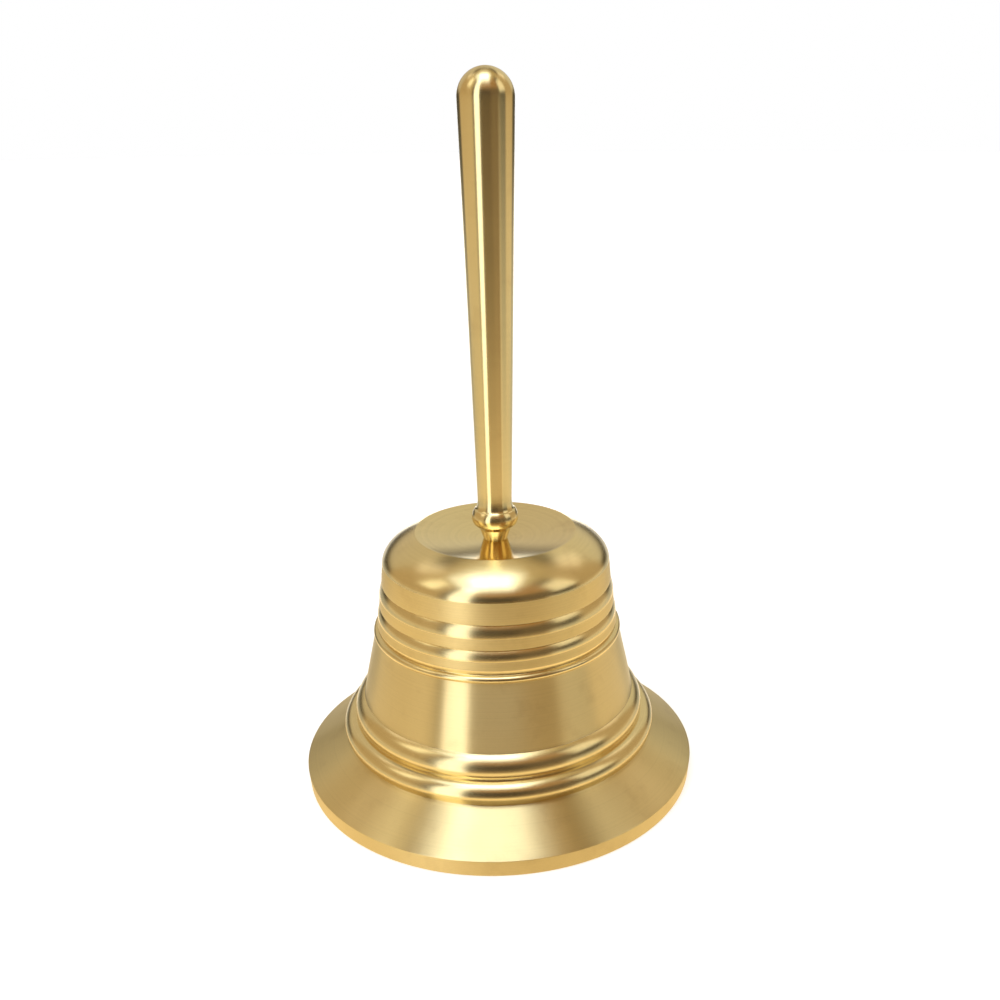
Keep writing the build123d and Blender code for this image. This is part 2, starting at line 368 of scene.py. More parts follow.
def prism(outline, depth, y_centre=0.0):
    """A throw-away solid: an XZ outline (metres) given depth along Y."""
    bm = bmesh.new()
    near = [bm.verts.new((x, y_centre - depth / 2, z)) for x, z in outline]
    far = [bm.verts.new((x, y_centre + depth / 2, z)) for x, z in outline]
    bm.faces.new(near)
    bm.faces.new(list(reversed(far)))
    for i in range(len(near)):
        j = (i + 1) % len(near)
        bm.faces.new((near[j], near[i], far[i], far[j]))
    return new_piece("cutter", bm, [])


def pivot_circle(radius):
    """An XZ circle round the pivot axis, in metres."""
    turns = [math.tau * k / 48 for k in range(48)]
    return [(radius * math.cos(turn), PIVOT.z + radius * math.sin(turn)) for turn in turns]


def thread_radius(angle, height, major, pitch, depth):
    """Radius of a 60 degree screw thread at an angle and height, with its crests just flattened."""
    turn = (height / pitch - angle / math.tau) % 1.0
    ramp = abs(2.0 * turn - 1.0)
    return major - depth * min(1.0, max(0.0, 1.15 * ramp - 0.075))


def screw_grid(bm, major, pitch, low, high, segments=40, per_turn=10):
    """Rings of a threaded rod from `low` to `high`, its ends run out to the core."""
    depth = 0.54 * pitch
    rows = max(2, int((high - low) / pitch * per_turn))
    rings = []
    for row in range(rows + 1):
        z = low + (high - low) * row / rows
        fade = min(1.0, (z - low) / pitch, (high - z) / (0.6 * pitch))
        ring = []
        for k in range(segments):
            angle = math.tau * k / segments
            radius = thread_radius(angle, z, major, pitch, depth)
            radius = (major - depth) + (radius - (major - depth)) * max(0.0, fade)
            ring.append(bm.verts.new((radius * math.cos(angle), radius * math.sin(angle), z)))
        rings.append(ring)
    return rings


def bridge_rings(bm, rings, material_index=0):
    for low, high in zip(rings[:-1], rings[1:]):
        for k in range(len(low)):
            j = (k + 1) % len(low)
            bm.faces.new((low[k], low[j], high[j], high[k])).material_index = material_index


# ---- shader node groups --------------------------------------------------------------------

def start_group(name, inputs, outputs):
    """An empty shader node group; inputs are (name, kind, default), outputs are (name, kind)."""
    group = bpy.data.node_groups.new(name, "ShaderNodeTree")
    for label, kind, default in inputs:
        socket = group.interface.new_socket(label, in_out="INPUT", socket_type=kind)
        socket.default_value = default
    for label, kind in outputs:
        group.interface.new_socket(label, in_out="OUTPUT", socket_type=kind)
    return group, group.nodes.new("NodeGroupInput"), group.nodes.new("NodeGroupOutput")


def math_node(tree, operation, a, b=None):
    node = tree.nodes.new("ShaderNodeMath")
    node.operation = operation
    for socket, value in zip(node.inputs, (a, b)):
        if isinstance(value, bpy.types.NodeSocket):
            tree.links.new(value, socket)
        elif value is not None:
            socket.default_value = value
    return node.outputs[0]


def noise_node(tree, vector, scale, detail=2.0, roughness=0.5, dimensions="3D"):
    node = tree.nodes.new("ShaderNodeTexNoise")
    node.noise_dimensions = dimensions
    node.inputs["Scale"].default_value = scale
    node.inputs["Detail"].default_value = detail
    node.inputs["Roughness"].default_value = roughness
    tree.links.new(vector, node.inputs["W" if dimensions == "1D" else "Vector"])
    return node.outputs[0]


def ranged(tree, value, low, high, to_low=0.0, to_high=1.0):
    node = tree.nodes.new("ShaderNodeMapRange")
    tree.links.new(value, node.inputs["Value"])
    for label, number in zip(("From Min", "From Max", "To Min", "To Max"), (low, high, to_low, to_high)):
        if isinstance(number, bpy.types.NodeSocket):
            tree.links.new(number, node.inputs[label])
        else:
            node.inputs[label].default_value = number
    return node.outputs["Result"]


def mixed(tree, factor, a, b):
    node = tree.nodes.new("ShaderNodeMix")
    node.data_type = "RGBA"
    tree.links.new(factor, node.inputs["Factor"])
    for label, value in (("A", a), ("B", b)):
        socket = next(s for s in node.inputs if s.name == label and s.type == "RGBA")
        if isinstance(value, bpy.types.NodeSocket):
            tree.links.new(value, socket)
        else:
            socket.default_value = (*value, 1.0)
    return next(s for s in node.outputs if s.type == "RGBA")


def ring_coordinate(tree):
    """Roughly the distance along a turned profile: height less most of the radius, in metres."""
    place = tree.nodes.new("ShaderNodeTexCoord")
    split = tree.nodes.new("ShaderNodeSeparateXYZ")
    tree.links.new(place.outputs["Object"], split.inputs[0])
    x, y, z = split.outputs
    across = math_node(tree, "SQRT", math_node(
        tree, "ADD", math_node(tree, "MULTIPLY", x, x), math_node(tree, "MULTIPLY", y, y)))
    return place, math_node(tree, "SUBTRACT", z, math_node(tree, "MULTIPLY", across, 0.83))


def make_turning_marks():
    """Concentric tool marks of a lathe: a fine and a coarse ring pattern, and specks in their colour."""
    group, given, result = start_group(
        "Turning Marks",
        [("Fine Rings per mm", "NodeSocketFloat", 9.0), ("Coarse Rings per mm", "NodeSocketFloat", 2.0),
         ("Coarse Share", "NodeSocketFloat", 0.4), ("Speckle", "NodeSocketFloat", 0.3)],
        [("Height", "NodeSocketFloat"), ("Streaks", "NodeSocketFloat")],
    )
    place, along = ring_coordinate(group)
    heights = []
    for label in ("Fine Rings per mm", "Coarse Rings per mm"):
        millimetres = math_node(group, "MULTIPLY", along, 1000.0)
        turns = math_node(group, "MULTIPLY", millimetres, given.outputs[label])
        heights.append(noise_node(group, turns, 1.0, 3.0, 0.65, "1D"))
    coarse = math_node(group, "MULTIPLY", heights[1], given.outputs["Coarse Share"])
    height = math_node(group, "ADD", heights[0], coarse)
    group.links.new(height, result.inputs["Height"])
    speckle = noise_node(group, place.outputs["Object"], 1500.0, 2.0, 0.7)
    specks = math_node(group, "MULTIPLY", speckle, given.outputs["Speckle"])
    streaks = math_node(group, "ADD", height, specks)
    group.links.new(ranged(group, streaks, 0.55, 1.05), result.inputs["Streaks"])
    return group


def make_handling():
    """Faint finger haze and thin tarnish: a cloudy mask, and a tarnish mask for hollows."""
    group, given, result = start_group(
        "Handling",
        [("Haze Size", "NodeSocketFloat", 60.0), ("Tarnish Size", "NodeSocketFloat", 180.0)],
        [("Haze", "NodeSocketFloat"), ("Tarnish", "NodeSocketFloat")],
    )
    place = group.nodes.new("ShaderNodeTexCoord")
    for size, output, low, high in (
        ("Haze Size", "Haze", 0.38, 0.68),
        ("Tarnish Size", "Tarnish", 0.55, 0.78),
    ):
        cloud = noise_node(group, place.outputs["Object"], 1.0, 5.0, 0.6)
        group.links.new(given.outputs[size], cloud.node.inputs["Scale"])
        group.links.new(ranged(group, cloud, low, high), result.inputs[output])
    return group


def group_node(material, group, **values):
    node = material.node_tree.nodes.new("ShaderNodeGroup")
    node.node_tree = group
    for label, value in values.items():
        node.inputs[label.replace("_", " ")].default_value = value
    return node


def metal(name, colour, roughness, rough_spread=0.05, haze_size=60.0, tarnish_amount=0.15,
          rings=None, ring_depth=0.0, ring_contrast=0.10, anisotropy=0.0):
    """A metal with haze, tarnish and turning marks; rings are fine and coarse per mm, coarse share."""
    material = bpy.data.materials.new(name)
    material.use_nodes = True
    tree = material.node_tree
    shader = tree.nodes["Principled BSDF"]
    shader.inputs["Metallic"].default_value = 1.0
    shader.inputs["Anisotropic"].default_value = anisotropy
    handling = group_node(material, bpy.data.node_groups["Handling"], Haze_Size=haze_size)
    if rings:
        marks = group_node(
            material, bpy.data.node_groups["Turning Marks"],
            Fine_Rings_per_mm=rings[0], Coarse_Rings_per_mm=rings[1], Coarse_Share=rings[2])
        worn = tuple(c * (1.0 - ring_contrast) for c in colour)
        colour = mixed(tree, marks.outputs["Streaks"], worn, colour)
    tarnish = ranged(tree, handling.outputs["Tarnish"], 0.0, 1.0, 0.0, tarnish_amount)
    tree.links.new(mixed(tree, tarnish, colour, tuple(colours().tarnish)), shader.inputs["Base Color"])
    rough = ranged(tree, handling.outputs["Haze"], 0.0, 1.0, roughness, roughness + rough_spread)
    tree.links.new(rough, shader.inputs["Roughness"])
    if anisotropy:
        tangent = tree.nodes.new("ShaderNodeTangent")
        tangent.direction_type = "RADIAL"
        tangent.axis = "Z"
        tree.links.new(tangent.outputs[0], shader.inputs["Tangent"])
        shader.inputs["Anisotropic Rotation"].default_value = 0.25
    if rings:
        bump = tree.nodes.new("ShaderNodeBump")
        bump.inputs["Strength"].default_value = 1.0
        bump.inputs["Distance"].default_value = ring_depth
        tree.links.new(marks.outputs["Height"], bump.inputs["Height"])
        tree.links.new(bump.outputs[0], shader.inputs["Normal"])
    return material


def make_fibre():
    """Red vulcanised fibre: matte, with a faint mottle."""
    material = bpy.data.materials.new("Vulcanised Fibre")
    material.use_nodes = True
    tree = material.node_tree
    shader = tree.nodes["Principled BSDF"]
    place = tree.nodes.new("ShaderNodeTexCoord")
    mottle = noise_node(tree, place.outputs["Object"], 1400.0, 4.0, 0.6)
    dark = tuple(0.55 * c for c in colours().fibre)
    tree.links.new(mixed(tree, mottle, dark, tuple(colours().fibre)), shader.inputs["Base Color"])
    tree.links.new(ranged(tree, mottle, 0.3, 0.7, 0.55, 0.75), shader.inputs["Roughness"])
    bump = tree.nodes.new("ShaderNodeBump")
    bump.inputs["Distance"].default_value = 0.02 * MM
    tree.links.new(mottle, bump.inputs["Height"])
    tree.links.new(bump.outputs[0], shader.inputs["Normal"])
    return material


def finishes():
    """All metals and the fibre, made once and shared by name."""
    if "Polished Brass" in bpy.data.materials:
        return bpy.data.materials
    make_turning_marks()
    make_handling()
    brass, satin = tuple(colours().brass), tuple(colours().satin_brass)
    steel = tuple(colours().steel)
    metal("Polished Brass", brass, 0.22, 0.05, rings=(7.0, 1.6, 0.5),
          ring_depth=0.0004 * MM, anisotropy=0.55)
    metal("Grooved Brass", brass, 0.31, 0.04, rings=(9.0, 2.2, 0.7),
          ring_depth=0.003 * MM, anisotropy=1.0)
    metal("Satin Brass", satin, 0.46, 0.05, rings=(8.0, 2.0, 0.3),
          ring_depth=0.001 * MM, anisotropy=0.6)
    metal("Inner Brass", brass, 0.36, 0.10, tarnish_amount=0.4, rings=(3.0, 0.9, 1.0),
          ring_depth=0.010 * MM)
    metal("Handle Brass", brass, 0.20, 0.04, haze_size=45.0, rings=(6.0, 1.2, 0.5),
          ring_depth=0.0005 * MM, ring_contrast=0.05, anisotropy=0.8)
    metal("Dish Brass", brass, 0.09, 0.04, rings=(5.0, 1.2, 0.5),
          ring_depth=0.0003 * MM, anisotropy=0.5)
    metal("Fitting Brass", satin, 0.30, 0.10, haze_size=300.0, tarnish_amount=0.5,
          rings=(5.0, 2.0, 0.5), ring_depth=0.003 * MM)
    metal("Ball Brass", brass, 0.24, 0.14, haze_size=220.0, tarnish_amount=0.4,
          rings=(4.0, 1.0, 0.6), ring_depth=0.003 * MM)
    metal("Plated Steel", steel, 0.28, 0.12, haze_size=500.0, tarnish_amount=0.10)
    metal("Drawn Steel", steel, 0.32, 0.10, haze_size=400.0, tarnish_amount=0.20)
    make_fibre()
    return bpy.data.materials


# ---- the pieces ----------------------------------------------------------------------------

def draw_tier(outline, land_top, top):
    """A narrow land, a rounded shoulder above it, and the small undercut below the next edge."""
    root = (top[0] - TIER_STEP, top[1] - TIER_ROOT_DROP)
    outline.line(land_top, "Satin Brass", 3)
    outline.arc(bulge(land_top, root, TIER_CROWN), root, "Polished Brass", 20)
    outline.line(top, "Polished Brass")


def shell_outline():
    polished, grooved, satin, inner = "Polished Brass", "Grooved Brass", "Satin Brass", "Inner Brass"
    line = Outline((MOUTH_RADIUS, 0.0))
    line.line((RIM_FOOT[0] - RIM_EDGE_BREAK, 0.0), satin)
    line.line((RIM_FOOT[0], RIM_EDGE_BREAK), satin)
    line.line(RIM_TOP, satin, 4)
    line.line(FLARE_TOP, grooved, 12)
    line.arc(bulge(FLARE_TOP, BEAD_CREASE, LOWER_BEAD_BULGE), BEAD_CREASE, polished, 22)
    line.arc(bulge(BEAD_CREASE, WAIST_FOOT, UPPER_BEAD_BULGE), WAIST_FOOT, polished, 20)
    line.bezier(WAIST_PULLS, LIP_FOOT, grooved, 24)
    lip_top = (LIP_FOOT[0] - LIP_LEAN, LIP_FOOT[1] + LIP_HEIGHT)
    line.arc(bulge(LIP_FOOT, lip_top, LIP_BULGE), lip_top, polished, 12)
    line.line((GROOVE_RADIUS, lip_top[1] + GROOVE_DROP), polished)
    line.line(LOWER_CREST, polished, 2)
    draw_tier(line, LOWER_LAND_TOP, UPPER_CREST)
    draw_tier(line, UPPER_LAND_TOP, BAND_FOOT)
    line.line(BAND_TOP, satin, 4)
    line.bezier(SHOULDER_PULLS, DISH_EDGE, polished, 36)
    dish_bottom = (DISH_FLAT_RADIUS, DISH_FLOOR)
    dish_middle = ((DISH_EDGE[0] + dish_bottom[0]) / 2, DISH_FLOOR + DISH_MIDDLE_RISE)
    line.arc(dish_middle, dish_bottom, "Dish Brass", 20)
    line.line((CROWN_HOLE_RADIUS, DISH_FLOOR), "Dish Brass")
    line.line((CROWN_HOLE_RADIUS, CROWN_UNDERSIDE), inner, 2)
    line.line((CROWN_FLAT_RADIUS, CROWN_UNDERSIDE), inner, 6)
    line.arc(INNER_CORNER, INNER_SHOULDER, inner, 12)
    line.line(INNER_WAIST, inner, 12)
    line.bezier(INNER_FLARE_PULLS, (MOUTH_RADIUS, 0.0), inner, 24)
    line.points.pop()
    line.finishes[-1] = inner
    return line


class HANDBELL_OT_shell(bpy.types.Operator):
    """Turn the bell shell: rim, flare, beads, waist, tiers, dome and dish"""

    bl_idname = "handbell.shell"
    bl_label = "Bell Shell"

    def execute(self, context):
        names = ["Polished Brass", "Grooved Brass", "Satin Brass", "Inner Brass", "Dish Brass"]
        bm = lathe(shell_outline(), sizes().segments, names, True, sizes().edge_radius)
        piece = new_piece("turned_bell", bm, [finishes()[name] for name in names])
        place_piece(piece, "bell", "bell_shell")
        return {"FINISHED"}


class HANDBELL_OT_handle(bpy.types.Operator):
    """Turn the handle: threaded tenon, neck, collar and tapered grip with its domed tip"""

    bl_idname = "handbell.handle"
    bl_label = "Handle"

    def execute(self, context):
        brass = "Handle Brass"
        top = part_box("handle")[1].z / MM
        grip_top = top - GRIP_TOP_RADIUS
        tip = GRIP_TOP_RADIUS * math.sqrt(0.5)
        line = Outline((TENON_RADIUS - 0.3, DISH_FLOOR))
        line.line((NECK_FOOT_RADIUS, DISH_FLOOR), brass)
        line.line(NECK_TOP, brass, 8)
        line.line(COLLAR_FOOT, brass, 3)
        line.arc(COLLAR_WIDEST, COLLAR_SHOULDER, brass, 24)
        line.bezier(COLLAR_PULLS, GRIP_FOOT, brass, 14)
        line.line((GRIP_TOP_RADIUS, grip_top), brass, 48)
        line.arc((tip, grip_top + tip), (0.0, top), brass, 28)
        segments = sizes().slim_segments
        bm = lathe(line, segments, [brass], False, sizes().edge_radius)
        foot = DISH_FLOOR * MM
        foot_ring = [v for v in bm.verts if abs(v.co.z - foot) < 1e-7 and v.co.xy.length < 1.3 * MM]
        foot_ring.sort(key=lambda v: math.atan2(v.co.y, v.co.x) % math.tau)
        rings = screw_grid(
            bm, TENON_RADIUS * MM, sizes().crown_thread_pitch,
            TENON_FOOT * MM, (DISH_FLOOR - 0.1) * MM, segments)
        bridge_rings(bm, rings)
        bridge_rings(bm, [rings[-1], foot_ring])
        bm.faces.new(list(reversed(rings[0])))
        piece = new_piece("turned_handle", bm, [finishes()[brass]])
        place_piece(piece, "bell", "handle")
        return {"FINISHED"}


def washer_outline(node, bore, finish):
    """A flat ring the size of a CAD washer."""
    low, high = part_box(node)
    outer = high.y / MM
    line = Outline((bore, low.z / MM))
    line.line((outer, low.z / MM), finish)
    line.line((outer, high.z / MM), finish)
    line.line((bore, high.z / MM), finish)
    line.line((bore, low.z / MM), finish)
    line.points.pop()
    return line


def split_ring(node, bore, gap_angle, finish):
    """A spring washer pressed flat: a square-section ring with a slanting gap."""
    low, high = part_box(node)
    outer = high.y
    steps = 72
    bm = bmesh.new()
    soft = 0.12 * MM
    sections = []
    slant = 0.10
    for k in range(steps + 1):
        ring = []
        for r, z in (
            (bore, low.z + soft), (bore + soft, low.z), (outer - soft, low.z), (outer, low.z + soft),
            (outer, high.z - soft), (outer - soft, high.z), (bore + soft, high.z), (bore, high.z - soft),
        ):
            lean = slant * ((z - low.z) / (high.z - low.z) - 0.5)
            angle = gap_angle / 2 + (math.tau - gap_angle) * k / steps + lean
            ring.append(bm.verts.new((r * math.cos(angle), r * math.sin(angle), z)))
        sections.append(ring)
    bridge_rings(bm, sections)
    bm.faces.new(list(reversed(sections[0])))
    bm.faces.new(sections[-1])
    return new_piece("spring_ring", bm, [finishes()[finish]])


class HANDBELL_OT_washers(bpy.types.Operator):
    """Make the fibre, flat and spring washers under the crown"""

    bl_idname = "handbell.washers"
    bl_label = "Washers"

    def execute(self, context):
        edge = sizes().fitting_edge_radius
        for node, name, finish, slot in (
            ("fibre_washer", "fibre_ring", "Vulcanised Fibre", "red_fibre"),
            ("flat_washer", "flat_ring", "Plated Steel", "plated_steel"),
        ):
            bm = lathe(washer_outline(node, WASHER_BORE, finish), 72, [finish], True, edge)
            piece = new_piece(name, bm, [finishes()[finish]])
            place_piece(piece, "bell", node)
        spring = split_ring("lock_washer", WASHER_BORE * MM, math.radians(LOCK_GAP_DEGREES), "Plated Steel")
        place_piece(spring, "bell", "lock_washer")
        return {"FINISHED"}


def hexagon_nut(node, name, bore, pitch):
    """A hexagon nut the size of its CAD node, corners turned off, with a screwed bore."""
    low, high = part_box(node)
    half_flats = high.y
    corner = half_flats / math.cos(math.pi / 6)
    segments, bore_rows = 96, 24
    drop = 0.577 * (corner - half_flats)
    bm = bmesh.new()

    def hexagon(angle, limit):
        to_flat = (angle % (math.pi / 3)) - math.pi / 6
        return min(half_flats / math.cos(to_flat), limit)

    levels = [(low.z, half_flats - 0.1 * MM)]
    levels += [(low.z + drop * t, half_flats + (corner - half_flats) * t) for t in (0.0, 0.33, 0.66, 1.0)]
    levels += [(high.z - drop * t, half_flats + (corner - half_flats) * t) for t in (1.0, 0.66, 0.33, 0.0)]
    levels += [(high.z, half_flats - 0.1 * MM)]
    rings = []
    for z, limit in levels:
        ring = []
        for k in range(segments):
            angle = math.tau * k / segments
            radius = hexagon(angle, limit)
            ring.append(bm.verts.new((radius * math.cos(angle), radius * math.sin(angle), z)))
        rings.append(ring)
    for row in range(bore_rows + 1):
        z = high.z - (high.z - low.z) * row / bore_rows
        flare = max(0.0, COUNTERSINK * MM - min(z - low.z, high.z - z))
        ring = []
        for k in range(segments):
            angle = math.tau * k / segments
            radius = bore + NUT_CLEARANCE * MM + flare
            if flare == 0.0:
                turn = (z / pitch - angle / math.tau) % 1.0
                radius -= 0.25 * pitch * abs(2.0 * turn - 1.0)
            ring.append(bm.verts.new((radius * math.cos(angle), radius * math.sin(angle), z)))
        rings.append(ring)
    bridge_rings(bm, rings)
    bridge_rings(bm, [rings[-1], rings[0]])
    return new_piece(name, bm, [finishes()["Plated Steel"]], 20.0)


class HANDBELL_OT_nuts(bpy.types.Operator):
    """Make the nut that clamps the crown and the nut that locks the ball"""

    bl_idname = "handbell.nuts"
    bl_label = "Nuts"

    def execute(self, context):
        crown = hexagon_nut("crown_nut", "hexagon_crown_nut", TENON_RADIUS * MM, sizes().crown_thread_pitch)
        place_piece(crown, "bell", "crown_nut")
        ball = hexagon_nut("ball_nut", "hexagon_ball_nut", ROD_RADIUS * MM, sizes().rod_thread_pitch)
        place_piece(ball, "clapper", "ball_nut")
        return {"FINISHED"}


class HANDBELL_OT_hanger(bpy.types.Operator):
    """Make the forked hanger and its riveted pivot pin"""

    bl_idname = "handbell.hanger"
    bl_label = "Hanger and Pin"

    def execute(self, context):
        low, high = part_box("clapper_hanger")
        radius = high.x
        fork_radius = PIVOT.z - low.z
        line = Outline((0.0, low.z / MM))
        line.line((radius / MM, low.z / MM), "Fitting Brass", 2)
        line.line((radius / MM, high.z / MM - 0.3), "Fitting Brass", 4)
        line.line((radius / MM - 0.3, high.z / MM), "Fitting Brass")
        line.line((0.0, high.z / MM), "Fitting Brass", 2)
        bm = lathe(line, 96, ["Fitting Brass"], False)
        piece = new_piece("forked_hanger", bm, [finishes()["Fitting Brass"]])
        barrel_foot = PIVOT.z + FORK_DROP * MM
        cheek = [(fork_radius, barrel_foot), (2 * radius, barrel_foot), (2 * radius, high.z + MM),
                 (-2 * radius, high.z + MM), (-2 * radius, barrel_foot), (-fork_radius, barrel_foot)]
        cheek += [
            (-fork_radius * math.cos(math.pi * k / 32), PIVOT.z - fork_radius * math.sin(math.pi * k / 32))
            for k in range(33)
        ]
        cut_with(piece, prism(cheek, 3 * radius), "INTERSECT")
        slot = [(-2 * radius, low.z - MM), (2 * radius, low.z - MM),
                (2 * radius, barrel_foot), (-2 * radius, barrel_foot)]
        cut_with(piece, prism(slot, FORK_GAP * MM), "DIFFERENCE")
        cut_with(piece, prism(pivot_circle(PIN_RADIUS * MM), 3 * radius), "DIFFERENCE")
        bore = Outline((0.0, TENON_FOOT - 0.4))
        bore.line((TENON_RADIUS + 0.02, TENON_FOOT - 0.4), "Fitting Brass")
        bore.line((TENON_RADIUS + 0.02, high.z / MM + 1.0), "Fitting Brass")
        bore.line((0.0, high.z / MM + 1.0), "Fitting Brass")
        tool = new_piece("cutter", lathe(bore, 48, ["Fitting Brass"], False), [])
        cut_with(piece, tool, "DIFFERENCE")
        ease_edges(piece, sizes().fitting_edge_radius)
        place_piece(piece, "bell", "clapper_hanger")
        self.make_pin()
        return {"FINISHED"}

    def make_pin(self):
        low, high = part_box("pivot_pin")
        half = high.y / MM
        head, shank, head_height = (high.z - low.z) / 2 / MM, PIN_RADIUS, PIN_HEAD_HEIGHT
        line = Outline((0.0, -half))
        line.arc((head * 0.62, -half + 0.12), (head, -half + 0.45), "Plated Steel", 10)
        line.line((head, -half + head_height), "Plated Steel")
        line.line((shank, -half + head_height), "Plated Steel")
        line.line((shank, half - head_height), "Plated Steel", 4)
        line.line((head, half - head_height), "Plated Steel")
        line.line((head, half - 0.45), "Plated Steel")
        line.arc((head * 0.62, half - 0.12), (0.0, half), "Plated Steel", 10)
        centre = (0.0, 0.0, PIVOT.z)
        bm = lathe(line, 48, ["Plated Steel"], False, 0.05 * MM, "Y", centre)
        piece = new_piece("rivet_pin", bm, [finishes()["Plated Steel"]])
        place_piece(piece, "bell", "pivot_pin")


class HANDBELL_OT_clapper(bpy.types.Operator):
    """Make the clapper's rod with its flattened eye and threaded foot, and the turned ball"""

    bl_idname = "handbell.clapper"
    bl_label = "Clapper"

    def execute(self, context):
        self.make_rod()
        self.make_ball()
        return {"FINISHED"}

    def make_rod(self):
        low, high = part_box("clapper_rod")
        rod_radius, eye_thickness = ROD_RADIUS * MM, ROD_EYE_THICKNESS * MM
        eye_radius = high.z - PIVOT.z
        segments = 48
        bm = bmesh.new()
        thread_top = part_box("ball_nut")[1].z + 2.5 * MM
        rings = screw_grid(bm, rod_radius, sizes().rod_thread_pitch, low.z, thread_top, segments)
        flatten_from, flatten_to = PIVOT.z - 5.0 * MM, PIVOT.z - 1.6 * MM
        rows = 60
        for row in range(1, rows + 1):
            z = thread_top + (high.z - 0.02 * MM - thread_top) * (row / rows)
            in_eye = eye_radius ** 2 - (z - PIVOT.z) ** 2
            eye_half = math.sqrt(max(in_eye, 0.0))
            if z < PIVOT.z:
                spread = min(1.0, max(0.0, (z - flatten_from) / (flatten_to - flatten_from)))
                spread = spread * spread * (3 - 2 * spread)
                half_x = max(eye_half, rod_radius * (1 + 0.12 * spread))
            else:
                spread, half_x = 1.0, eye_half
            half_y = rod_radius + (eye_thickness / 2 - rod_radius) * spread
            power = 2.0 + 5.0 * spread
            ring = []
            for k in range(segments):
                angle = math.tau * k / segments
                c, s = math.cos(angle), math.sin(angle)
                ring.append(bm.verts.new((
                    half_x * math.copysign(abs(c) ** (2 / power), c),
                    half_y * math.copysign(abs(s) ** (2 / power), s), z)))
            rings.append(ring)
        bridge_rings(bm, rings)
        bm.faces.new(list(reversed(rings[0])))
        bm.faces.new(rings[-1])
        piece = new_piece("clapper_stem", bm, [finishes()["Drawn Steel"]])
        cut_with(piece, prism(pivot_circle(EYE_HOLE_RADIUS * MM), 3 * eye_thickness), "DIFFERENCE")
        piece.data.shade_smooth()
        piece.data.set_sharp_from_angle(angle=math.radians(35))
        place_piece(piece, "clapper", "clapper_rod")

    def make_ball(self):
        low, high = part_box("clapper_ball")
        radius = (high.x - low.x) / 2 / MM
        centre, seat = low.z / MM + radius, high.z / MM
        seat_radius = math.sqrt(radius ** 2 - (seat - centre) ** 2)
        rod_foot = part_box("clapper_rod")[0].z / MM
        line = Outline((0.0, rod_foot - 0.1))
        line.line((BALL_BORE, rod_foot), "Ball Brass")
        line.line((BALL_BORE, seat - 0.3), "Ball Brass", 6)
        line.line((BALL_BORE + 0.3, seat), "Ball Brass")
        line.line((seat_radius, seat), "Ball Brass", 2)
        line.arc((radius, centre), (0.0, centre - radius), "Ball Brass", 64)
        bm = lathe(line, sizes().slim_segments, ["Ball Brass"], False, sizes().fitting_edge_radius)
        piece = new_piece("turned_ball", bm, [finishes()["Ball Brass"]])
        place_piece(piece, "clapper", "clapper_ball")


# ---- stage ---------------------------------------------------------------------------------

CAMERA_DISTANCE = 5.0309
CAMERA_HEIGHT = 3.2426
CAMERA_TURN = (0.3447, 0.0446, -0.0073)     # pitch, yaw and roll in radians
CAMERA_LENS = 1.0899                        # focal length per sensor width
CAMERA_SHIFT = -0.0405
FLOOR_GLOW = 0.55
FLOOR_DROP = 0.03                           # keeps the floor clear of the rim's underside


def make_camera(rim_radius):
    """The camera stands about 20 degrees above the bell, in rim radii from the rim's centre."""
    distance, height = CAMERA_DISTANCE * rim_radius, CAMERA_HEIGHT * rim_radius
    pitch, yaw, roll = CAMERA_TURN
    forward = Vector((math.sin(yaw) * math.cos(pitch), math.cos(yaw) * math.cos(pitch), -math.sin(pitch)))
    right = forward.cross(Vector((0, 0, 1))).normalized()
    up = right.cross(forward)
    right, up = (
        right * math.cos(roll) + up * math.sin(roll),
        up * math.cos(roll) - right * math.sin(roll),
    )
    data = bpy.data.cameras.new("camera")
    data.sensor_width = 36.0
    data.lens = CAMERA_LENS * data.sensor_width
    data.shift_x = CAMERA_SHIFT
    data.clip_start, data.clip_end = 0.01, 20.0
    camera = bpy.data.objects.new("camera", data)
    bpy.context.scene.collection.objects.link(camera)
    turned = Matrix((right, up, -forward)).transposed().to_4x4()
    camera.matrix_world = Matrix.Translation((0.0, -distance, height)) @ turned
    bpy.context.scene.camera = camera


def make_floor():
    """A pale round floor, clear from underneath so that the mouth and the clapper can be seen."""
    bm = bmesh.new()
    rings = [[bm.verts.new((0, 0, 0))]]
    for radius in (0.05, 0.1, 0.2, 0.4, 0.8, 1.6, 3.2):
        rings.append([
            bm.verts.new((radius * math.cos(math.tau * k / 96), radius * math.sin(math.tau * k / 96), 0.0))
            for k in range(96)
        ])
    for k in range(96):
        bm.faces.new((rings[0][0], rings[1][k], rings[1][(k + 1) % 96]))
    bridge_rings(bm, rings[1:])
    material = bpy.data.materials.new("Studio Floor")
    material.use_nodes = True
    tree = material.node_tree
    shader = tree.nodes["Principled BSDF"]
    shader.inputs["Base Color"].default_value = (*colours().floor, 1.0)
    shader.inputs["Roughness"].default_value = 0.9
    shader.inputs["Specular IOR Level"].default_value = 0.1
    shader.inputs["Emission Color"].default_value = (1.0, 1.0, 1.0, 1.0)
    path = tree.nodes.new("ShaderNodeLightPath")
    glow = math_node(tree, "MULTIPLY", path.outputs["Is Camera Ray"], FLOOR_GLOW)
    tree.links.new(glow, shader.inputs["Emission Strength"])
    place = tree.nodes.new("ShaderNodeNewGeometry")
    seen_from_above = math_node(tree, "SUBTRACT", 1.0, place.outputs["Backfacing"])
    tree.links.new(seen_from_above, shader.inputs["Alpha"])
    floor = new_piece("studio_floor", bm, [material])
    if floor.data.polygons[0].normal.z < 0:
        floor.data.flip_normals()
    floor.visible_glossy = False
    floor.visible_shadow = False
    floor.location.z = -FLOOR_DROP * MM


